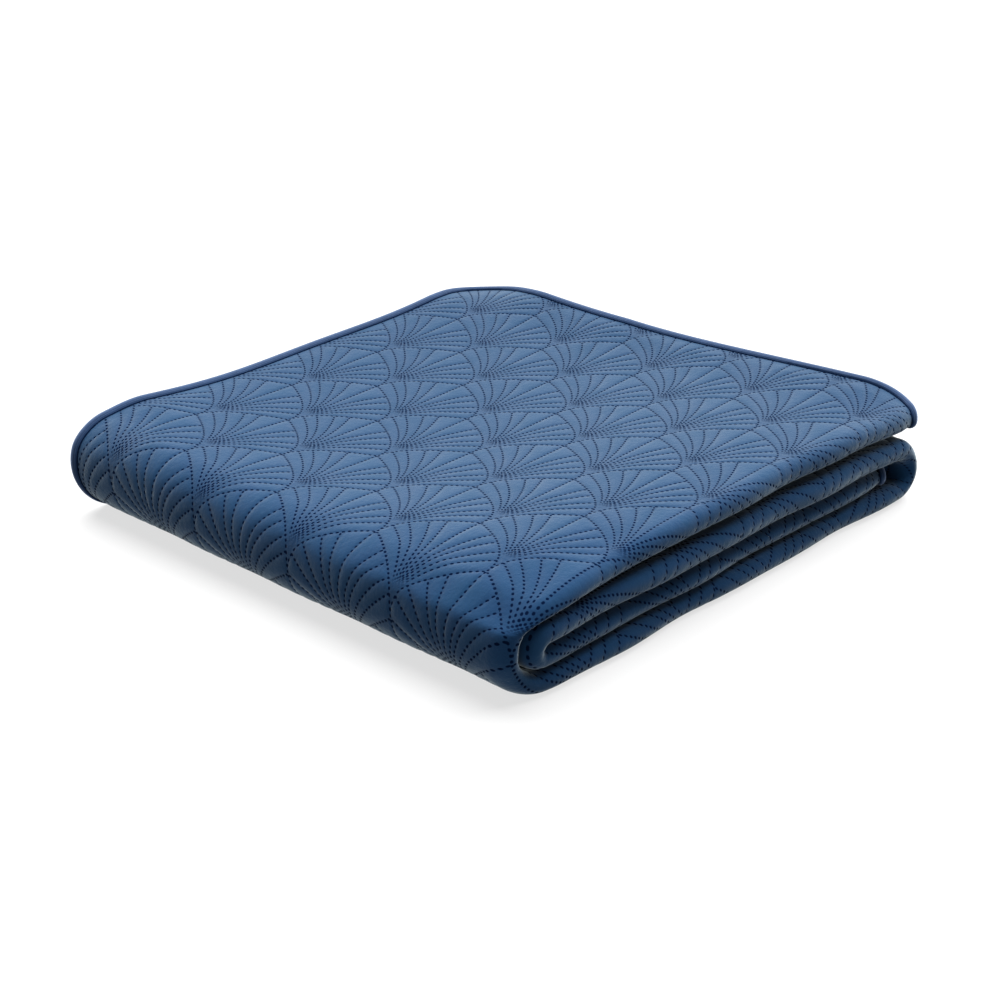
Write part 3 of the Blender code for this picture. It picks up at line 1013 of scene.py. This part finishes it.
# Noises of the binding, and their heights
BINDING_BLOTCHES = (60.0, 2.0)
BINDING_GRAIN = (1200.0, 2.0, 0.6)
BINDING_PUCKERS = (160.0, 2.0)
BINDING_GRAIN_RISE = 0.00005
BINDING_PUCKER_RISE = 0.0003
BINDING_ROUGHNESS = (0.7, 0.15)
BINDING_SHEEN_ROUGHNESS = 0.4
# How softly the painted shade in its groove starts, and where the painted shade line in its dent
# fades and how dark it is
GROOVE_SOFTNESS = 0.0003
DENT_FADE = (0.0001, 0.0007)
DENT_SHADE_SHARE = 0.6

FLOOR_GRAIN = (40.0, 2.0)
FLOOR_ROUGHNESS = (0.85, 0.05)
FLOOR_GLOSS = 0.1
WHITE = (1.0, 1.0, 1.0, 1.0)


def colour(values):
    return (*values, 1.0)


def flat_cloth(recipe):
    """A place's flat distances from the piece's UV map: as a vector, across and along."""
    flat = recipe.node("ShaderNodeUVMap", {"uv_map": "flat_cloth"}, {}).outputs[0]
    split = recipe.node("ShaderNodeSeparateXYZ", {}, {0: flat})
    return flat, Number(recipe, split.outputs[0]), Number(recipe, split.outputs[1])


def toned(recipe, share, settings):
    """A colour from the settings' low colour, where the share is 0, to their colour."""
    return recipe.blend(share, colour(settings.low_colour), colour(settings.colour))


def sheenless(values):
    """A dark shader without sheen: painted shade in the stitch pits and in the binding's groove and
    dent, and the random dull mottle of the nap.
    """
    return {"Base Color": colour(values), "Roughness": 1.0, "Specular IOR Level": 0.0}


def stitches(recipe, settings, distance, reach):
    """1 in the pits of a stitched line, and 0 away from them."""
    turns = reach / settings.stitch_pitch
    along = maths("ABSOLUTE", turns - maths("FLOOR", turns) - 0.5) * settings.stitch_pitch
    half_width = settings.stitch_width / 2
    past = maths("MAXIMUM", along - (settings.stitch_length / 2 - half_width), 0.0)
    away = maths("SQRT", past * past + distance * distance)
    return 1 - recipe.rise(away, half_width * PIT_FADE[0], half_width * PIT_FADE[1])


def quilted_material(settings):
    """Short-napped cloth, quilted in fans: pits and pressed seams with painted shade, crests with
    painted light, and a soft nap.
    """
    recipe = Recipe("quilted_cloth")
    flat, across, along = flat_cloth(recipe)
    ribs, reach, closing, next_reach, height, room = seam_places(across, along)
    pits = 0.0
    nearest = closing
    for count, away in enumerate(ribs[:-1]):
        staggered = reach + count * RIB_STAGGER * settings.stitch_pitch
        pits = maths("MAXIMUM", pits, stitches(recipe, settings, away, staggered))
        nearest = maths("MINIMUM", nearest, away)
    pits = pits * recipe.rise(height, *settings.ribs_from)
    pits = maths("MAXIMUM", pits, stitches(recipe, settings, ribs[-1], reach))
    pits = maths("MAXIMUM", pits, stitches(recipe, settings, closing, next_reach))
    seam = 1 - recipe.rise(maths("MINIMUM", nearest, ribs[-1]), 0.0, SEAM_WIDTH)
    crest = puffed_up(room, settings)
    blotches = recipe.noise(flat, *BLOTCHES)
    grain = recipe.noise(flat, *GRAIN)
    puckers = recipe.noise(flat, *PUCKERS)
    # Painted light and shade: the nap is lighter on the crests and darker towards the seams, with
    # random blotches and grain
    tone = crest * CREST_PAINTED_LIGHT + blotches * BLOTCH_TONE + grain * GRAIN_TONE - DARK_TONE
    tone = recipe.rise(tone, 0.0, 1.0)
    rise = grain * GRAIN_RISE + puckers * (PUCKER_RISE + seam * SEAM_RISE)
    rise = rise + crest * CREST_RISE - pits * PIT_DEPTH
    recipe.set_shader(
        {
            "Base Color": toned(recipe, tone, settings),
            "Roughness": NAP_ROUGHNESS[0] + grain * NAP_ROUGHNESS[1],
            "Normal": recipe.bump(rise),
            "Sheen Weight": 1.0,
            "Sheen Roughness": NAP_SHEEN_ROUGHNESS,
            "Sheen Tint": colour(settings.sheen_colour),
            "Specular IOR Level": 0.0,
        }
    )
    worn = recipe.rise(blotches * 0.5 + grain * 0.5, *WORN_FADE) * WORN_MOST
    # Painted shade: the stitch pits take a dark sheenless shader, and random mottle dulls the nap
    # with it too
    recipe.cover(maths("MAXIMUM", pits, worn), sheenless(settings.pit_shade_and_mottle_colour))
    return recipe.material


def binding_material(settings):
    """Closely woven binding, with painted shade in the groove along its inner edge and along its
    dent.
    """
    recipe = Recipe("binding_cloth")
    flat, inward, _ = flat_cloth(recipe)
    blotches = recipe.noise(flat, *BINDING_BLOTCHES)
    grain = recipe.noise(flat, *BINDING_GRAIN)
    puckers = recipe.noise(flat, *BINDING_PUCKERS)
    inner = settings.width - BINDING_GROOVE
    groove = recipe.rise(inward, inner - GROOVE_SOFTNESS, inner + GROOVE_SOFTNESS)
    from_dent = maths("ABSOLUTE", inward - settings.width * BINDING_DENT)
    line = 1 - recipe.rise(from_dent, *DENT_FADE)
    rise = grain * BINDING_GRAIN_RISE + puckers * BINDING_PUCKER_RISE
    recipe.set_shader(
        {
            "Base Color": toned(recipe, blotches, settings),
            "Roughness": BINDING_ROUGHNESS[0] + grain * BINDING_ROUGHNESS[1],
            "Normal": recipe.bump(rise),
            "Sheen Weight": 1.0,
            "Sheen Roughness": BINDING_SHEEN_ROUGHNESS,
            "Sheen Tint": colour(settings.sheen_colour),
            "Specular IOR Level": 0.0,
        }
    )
    # Painted shade: the groove and the dent line take a dark sheenless shader
    dark = maths("MAXIMUM", groove, line * DENT_SHADE_SHARE)
    recipe.cover(dark, sheenless(settings.groove_shade_colour))
    return recipe.material


def floor_material(settings):
    """A plain matt floor that glows a little."""
    recipe = Recipe("pale_floor")
    place = recipe.node("ShaderNodeTexCoord", {}, {}).outputs["Object"]
    grain = recipe.noise(place, *FLOOR_GRAIN)
    recipe.set_shader(
        {
            "Base Color": colour(settings.floor_colour),
            "Roughness": FLOOR_ROUGHNESS[0] + grain * FLOOR_ROUGHNESS[1],
            "Emission Color": WHITE,
            "Emission Strength": settings.floor_glow,
            "Specular IOR Level": FLOOR_GLOSS,
        }
    )
    return recipe.material


# ---- Operators ----


class BEDSPREAD_OT_quilted_cloth(bpy.types.Operator):
    """Lay the quilted cloth's sheets on the frame's folded panel"""

    bl_idname = "bedspread.quilted_cloth"
    bl_label = "Quilted cloth"

    def execute(self, context):
        settings = context.scene.bedspread_cloth
        material = quilted_material(settings)
        for name, left, right, near, far, step, raised, under in SHEETS:
            across_span, along_span = (left, right), (near, far)
            piece = build_sheet(name, across_span, along_span, step, raised, settings, material)
            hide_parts("quilted_panel")
            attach(piece, "root")
        return {"FINISHED"}


class BEDSPREAD_OT_binding(bpy.types.Operator):
    """Fold the binding over the cloth's edge"""

    bl_idname = "bedspread.binding"
    bl_label = "Edge binding"

    def execute(self, context):
        settings = context.scene.bedspread_binding
        piece, length = build_binding(settings, binding_material(settings))
        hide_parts("edge_binding")
        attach(piece, "root")
        return {"FINISHED"}


# The camera, as it was fitted to the photograph
CAMERA_AZIMUTH = 48.47
CAMERA_ELEVATION = 25.421
CAMERA_PLACE = (-1.14132, -1.00569, 0.72109)
CAMERA_LENS = 61.791
CAMERA_SENSOR = 36.0
# The floor rises softly to its rim: squares to a side, where it starts in half widths, the height
FLOOR_SQUARES = 24
FLOOR_RIM_FROM = 0.6
FLOOR_RIM = 1.2
# Where the soft light comes from, and how wide it looks
LIGHT_FROM = (0.58, 0.30, 1.0)
LIGHT_WIDTH = math.radians(82)


class BEDSPREAD_OT_stage(bpy.types.Operator):
    """Set up the plain floor, the soft light and the camera"""

    bl_idname = "bedspread.stage"
    bl_label = "Stage"

    def execute(self, context):
        settings = context.scene.bedspread_stage
        scene = context.scene
        bm = bmesh.new()
        half = settings.floor_size / 2
        bmesh.ops.create_grid(bm, x_segments=FLOOR_SQUARES, y_segments=FLOOR_SQUARES, size=half)
        for vert in bm.verts:
            vert.co.z = FLOOR_RIM * soft_step(vert.co.xy.length, half * FLOOR_RIM_FROM, half)
        mesh = bpy.data.meshes.new("floor")
        bm.to_mesh(mesh)
        bm.free()
        mesh.materials.append(floor_material(settings))
        floor = bpy.data.objects.new("floor", mesh)
        scene.collection.objects.link(floor)

        sun = bpy.data.lights.new("soft_light", "SUN")
        sun.energy = settings.light
        sun.angle = LIGHT_WIDTH
        lamp = bpy.data.objects.new("soft_light", sun)
        lamp.rotation_euler = Vector(LIGHT_FROM).to_track_quat("Z", "Y").to_euler()
        scene.collection.objects.link(lamp)

        world = bpy.data.worlds.new("surround")
        world.use_nodes = True
        background = world.node_tree.nodes["Background"]
        background.inputs["Color"].default_value = WHITE
        background.inputs["Strength"].default_value = settings.surround
        scene.world = world
        scene.view_settings.view_transform = "Standard"

        azimuth, elevation = math.radians(CAMERA_AZIMUTH), math.radians(CAMERA_ELEVATION)
        ahead = Vector((math.sin(azimuth), math.cos(azimuth), -math.tan(elevation))).normalized()
        right = Vector((math.cos(azimuth), -math.sin(azimuth), 0.0))
        up = right.cross(ahead)
        camera = bpy.data.objects.new("camera", bpy.data.cameras.new("camera"))
        axes = Matrix((right, up, -ahead)).transposed()
        camera.matrix_world = Matrix.Translation(CAMERA_PLACE) @ axes.to_4x4()
        camera.data.lens = CAMERA_LENS
        camera.data.sensor_width = CAMERA_SENSOR
        scene.collection.objects.link(camera)
        scene.camera = camera
        return {"FINISHED"}


class BEDSPREAD_PT_panel(bpy.types.Panel):
    """Lists the bedspread's pieces and their settings"""

    bl_idname = "BEDSPREAD_PT_panel"
    bl_label = "Bedspread"
    bl_space_type = "VIEW_3D"
    bl_region_type = "UI"
    bl_category = "Bedspread"

    def draw(self, context):
        for title, group, operator in PANEL_ROWS:
            box = self.layout.box()
            box.label(text=title)
            settings = getattr(context.scene, group)
            for name in type(settings).__annotations__:
                box.prop(settings, name)
            box.operator(operator)


SETTINGS = {
    "bedspread_cloth": ClothSettings,
    "bedspread_binding": BindingSettings,
    "bedspread_stage": StageSettings,
}
PANEL_ROWS = (
    ("Quilted cloth", "bedspread_cloth", "bedspread.quilted_cloth"),
    ("Edge binding", "bedspread_binding", "bedspread.binding"),
    ("Stage", "bedspread_stage", "bedspread.stage"),
)
CLASSES = (
    *SETTINGS.values(),
    BEDSPREAD_OT_quilted_cloth,
    BEDSPREAD_OT_binding,
    BEDSPREAD_OT_stage,
    BEDSPREAD_PT_panel,
)


def register():
    for item in CLASSES:
        bpy.utils.register_class(item)
    for name, group in SETTINGS.items():
        setattr(bpy.types.Scene, name, bpy.props.PointerProperty(type=group))


def unregister():
    for name in SETTINGS:
        delattr(bpy.types.Scene, name)
    for item in reversed(CLASSES):
        bpy.utils.unregister_class(item)


def main():
    register()
    bpy.ops.bedspread.quilted_cloth()
    bpy.ops.bedspread.binding()
    bpy.ops.bedspread.stage()


if __name__ == "__main__":
    main()
